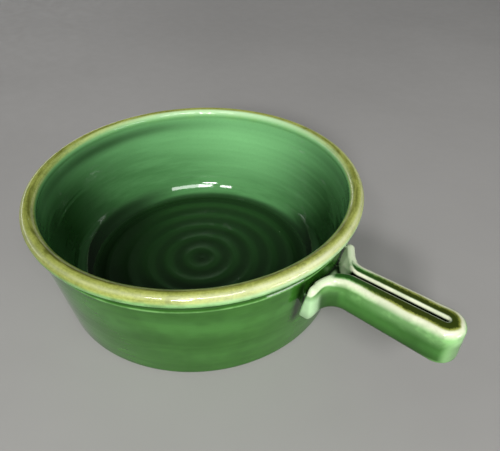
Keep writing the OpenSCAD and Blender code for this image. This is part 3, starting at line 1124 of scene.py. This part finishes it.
def relief(tree, height, strength, distance, below=None):
    node = tree.nodes.new("ShaderNodeBump")
    node.inputs["Strength"].default_value = strength
    node.inputs["Distance"].default_value = distance * MM
    tree.links.new(height, node.inputs["Height"])
    if below is not None:
        tree.links.new(below, node.inputs["Normal"])
    return node.outputs["Normal"]


# Colours of the glaze where it runs thick, thin and over edges; some also serve for painted light and shade
OUTSIDE_DEEP = colour(38, 88, 16)
OUTSIDE_MID = colour(58, 114, 36)
OUTSIDE_LIGHT = colour(82, 146, 64)
INSIDE_DEEP = colour(82, 137, 81)
INSIDE_MID = colour(96, 155, 95)
# The colour of the painted light on the inner wall
INSIDE_PAINTED_LIGHT = colour(138, 210, 138)
# Also the colour of the painted shade on the inner wall's sides
FLOOR_GREEN = colour(30, 66, 25)
# Pooled glaze, and also the colour of painted shade and shadow
DEEP_GREEN = colour(6, 20, 3)
MINT = colour(146, 208, 122)
PALE = colour(206, 246, 192)
CREAM = colour(252, 255, 224)
YELLOW = colour(202, 211, 108)
OLIVE = colour(142, 154, 60)
DARK_OLIVE = colour(92, 98, 30)
FLAT_GREEN = colour(40, 88, 28)
FLAT_OLIVE = colour(58, 72, 14)
SPECK = colour(196, 220, 176)
CLAY_LIGHT = colour(206, 184, 148)
CLAY_DARK = colour(176, 150, 114)

# Refractive index of the glaze
GLAZE_IOR = 1.48
# Textures: noise as scale, detail and roughness, and its ramp as low, high and the ends of the result
TEXTURES = {
    "patches": ((30, 3.0, 0.55), (0.34, 0.66)),
    "cloud": ((80, 3.0, 0.55), (0.36, 0.64)),
    "drift": ((48, 2.0, 0.55), (0.36, 0.64, 0.4, 1.0)),
    "speckle": ((650, 3.0, 0.6), (0.38, 0.62)),
    "blotches": ((75, 4.0, 0.6), (0.54, 0.68, 0.0, 0.5)),
    "pinholes": ((40, 3.0, 0.55), (0.55, 0.62)),
}
# Streaks, with their squeeze before the noise
BROAD_STREAKS = ((8, 16, 4.0, 0.6), (0.36, 0.66))
FINE_STREAKS = ((10, 55, 5.0, 0.65), (0.34, 0.66))
# Share of streaks in a mix with another texture
STREAK_SHARE = 0.6
# Grain of the bare clay
CLAY_GRAIN = (400, 4.0, 0.6)
# Pinholes: scale of the spots, and distances from a spot's middle where it begins
PINHOLE_SCALE = 95
PINHOLE_SIZE = (0.035, 0.02)
# How textures from 0 to 1 vary the coats: value at 0 and at 1
MINT_RANGE = (0.45, 1.0)
CREAM_RANGE = (0.8, 1.0)
YELLOW_RANGE = (0.0, 0.25)
BAND_RANGE = (1.0, 0.5)
ROUGH_RANGE = (0.03, 0.07)
# Speckle added to the handle's flats, and the sums where their colour begins
FLAT_SPECKLE = 0.3
FLAT_BEGINS = (0.2, 1.0)
# Roughness added on dull glaze and on bare clay
DULL_ROUGH = 0.5
BARE_ROUGH = 0.75
# Relief of the gloss: noise, strength and height in millimetres
WAVES = ((120, 2.0, 0.55), 0.2, 0.3)
RIPPLES = ((800, 2.0, 0.55), 0.05, 0.1)


def texture(tree, look, spread):
    return ramp(tree, noise(tree, *look), *spread)


def mixed(tree, streaked, other):
    return total(tree, product(tree, streaked, STREAK_SHARE), product(tree, other, 1 - STREAK_SHARE))


def ochre_shade(tree, textures, fine_streaks):
    """The grainy olive and yellow of thin glaze on the rim, and the olive band, which carries painted shade
    at the front.
    """
    shade = blend(tree, mixed(tree, fine_streaks, textures["speckle"]), OLIVE, YELLOW)
    shade = blend(tree, ramp(tree, textures["patches"], 0, 1, *YELLOW_RANGE), shade, YELLOW)
    shade = blend(tree, textures["blotches"], shade, DARK_OLIVE)
    # The olive band, with painted shade at the front
    dark = product(tree, attribute(tree, "band"), ramp(tree, fine_streaks, 0, 1, *BAND_RANGE))
    return blend(tree, dark, shade, DARK_OLIVE)


def glaze_shade(tree, textures):
    """Colour of the glaze: the green of the walls, then the thin coats, then the thick ones, with painted
    light and shade among them.
    """
    broad_streaks, fine_streaks = (ramp(tree, streaks(tree, *look), *spread)
                                   for look, spread in (BROAD_STREAKS, FINE_STREAKS))
    outside = blend(tree, mixed(tree, broad_streaks, textures["patches"]), OUTSIDE_DEEP, OUTSIDE_MID)
    outside = blend(tree, product(tree, attribute(tree, "light"), textures["drift"]), outside, OUTSIDE_LIGHT)
    inside = blend(tree, broad_streaks, INSIDE_DEEP, INSIDE_MID)
    # Painted light on the inner wall
    inside = blend(tree, attribute(tree, "light"), inside, INSIDE_PAINTED_LIGHT)
    shade = blend(tree, attribute(tree, "inside"), outside, inside)
    # The floor's darker glaze, and painted shade on the inner wall's sides
    shade = blend(tree, attribute(tree, "low"), shade, FLOOR_GREEN)
    thin = product(tree, attribute(tree, "mint"), ramp(tree, textures["cloud"], 0, 1, *MINT_RANGE))
    shade = blend(tree, thin, shade, MINT)
    shade = blend(tree, attribute(tree, "amber"), shade, ochre_shade(tree, textures, fine_streaks))
    # The pale and cream coats include painted light, painted highlights and a painted sheen
    shade = blend(tree, attribute(tree, "pale"), shade, PALE)
    bright = product(tree, attribute(tree, "cream"), ramp(tree, textures["cloud"], 0, 1, *CREAM_RANGE))
    shade = blend(tree, bright, shade, CREAM)
    flats = blend(tree, attribute(tree, "olive"), FLAT_GREEN, FLAT_OLIVE)
    flat_spread = total(tree, attribute(tree, "flat"), product(tree, textures["speckle"], FLAT_SPECKLE))
    shade = blend(tree, ramp(tree, flat_spread, *FLAT_BEGINS), shade, flats)
    # Pooled glaze, and painted shade and shadow
    shade = blend(tree, attribute(tree, "pool_and_shade"), shade, DEEP_GREEN)
    pinholes = product(tree, ramp(tree, spots(tree, PINHOLE_SCALE), *PINHOLE_SIZE), textures["pinholes"])
    return blend(tree, pinholes, shade, SPECK)


def new_material(name):
    material = bpy.data.materials.new(name)
    material.use_nodes = True
    tree = material.node_tree
    return material, tree, tree.nodes["Principled BSDF"]


def glaze(name):
    material, tree, shader = new_material(name)
    shader.inputs["IOR"].default_value = GLAZE_IOR
    textures = {key: texture(tree, *values) for key, values in TEXTURES.items()}
    bare = attribute(tree, "bare")
    clay = blend(tree, noise(tree, *CLAY_GRAIN), CLAY_DARK, CLAY_LIGHT)
    feed(tree, shader.inputs["Base Color"], blend(tree, bare, glaze_shade(tree, textures), clay))
    rough = ramp(tree, textures["cloud"], 0, 1, *ROUGH_RANGE)
    rough = total(tree, rough, product(tree, attribute(tree, "dull"), DULL_ROUGH))
    feed(tree, shader.inputs["Roughness"], total(tree, rough, product(tree, bare, BARE_ROUGH)))
    normal = None
    for look, strength, height in (WAVES, RIPPLES):
        normal = relief(tree, noise(tree, *look), strength, height, normal)
    feed(tree, shader.inputs["Normal"], normal)
    return material


# Stage floor: its two tones, and noise and ramp of its tone and of its roughness
STAGE_DARK = colour(178, 176, 173)
STAGE_LIGHT = colour(185, 183, 180)
STAGE_TONE = ((3, 3.0, 0.55), (0.3, 0.7))
STAGE_ROUGH = ((60, 3.0, 0.55), (0.3, 0.7, 0.6, 0.75))
STAGE_HALF = 4000


def plaster():
    material, tree, shader = new_material("floor_plaster")
    tone = texture(tree, *STAGE_TONE)
    feed(tree, shader.inputs["Base Color"], blend(tree, tone, STAGE_DARK, STAGE_LIGHT))
    feed(tree, shader.inputs["Roughness"], texture(tree, *STAGE_ROUGH))
    return material


def dress(piece, material):
    piece.data.materials.clear()
    piece.data.materials.append(material)


dress(bowl, glaze("bowl_glaze"))
handle_glaze = glaze("handle_glaze")
dress(handle, handle_glaze)
dress(seam, handle_glaze)

for piece, node, slot_name in ((bowl, "bowl", "bowl_glaze"), (handle, "handle", "handle_glaze"),
                               (seam, "luting_slip", "handle_glaze")):
    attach(piece, "root")
    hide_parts(node)

stage_corners = [(STAGE_HALF * x, STAGE_HALF * y, 0) for x, y in ((-1, -1), (1, -1), (1, 1), (-1, 1))]
floor = mesh_object("floor", stage_corners, [(0, 1, 2, 3)])
dress(floor, plaster())


# Soft boxes aimed at the dish: azimuth and elevation in degrees, width and height in metres, power in watts
LIGHT_AIM = Vector((0.03, 0.0, 0.04))
LIGHT_DISTANCE = 2.2
BOXES = {
    "front_left_box": (-77, 42, 0.32, 0.20, 5.6),
    "front_box": (-55, 43, 0.40, 0.16, 6.4),
    "front_right_box": (-34, 42, 0.92, 0.36, 13.5),
    "key_box": (-58, 27, 0.44, 0.22, 23.0),
    "right_box": (5, 4, 1.00, 0.40, 12.0),
    "left_box": (180, 10, 3.20, 0.32, 6.4),
    "back_box": (128, 12, 3.20, 0.80, 4.0),
}
SKY_COLOUR = (0.95, 0.98, 1.0, 1)
SKY_STRENGTH = 0.07


def area_light(name, azimuth, elevation, width, height, power):
    data = bpy.data.lights.new(name, "AREA")
    data.shape = "RECTANGLE"
    data.size = width
    data.size_y = height
    data.energy = power
    lamp = placed(name, data)
    a, e = math.radians(azimuth), math.radians(elevation)
    toward = Vector((math.cos(a) * math.cos(e), math.sin(a) * math.cos(e), math.sin(e)))
    lamp.location = LIGHT_AIM + toward * LIGHT_DISTANCE
    lamp.rotation_euler = (-toward).to_track_quat("-Z", "Y").to_euler()


for name, values in BOXES.items():
    area_light(name, *values)
world = bpy.data.worlds.new("studio")
bpy.context.scene.world = world
world.use_nodes = True
sky = world.node_tree.nodes["Background"]
sky.inputs["Color"].default_value = SKY_COLOUR
sky.inputs["Strength"].default_value = SKY_STRENGTH
bpy.context.scene.view_settings.view_transform = "Standard"
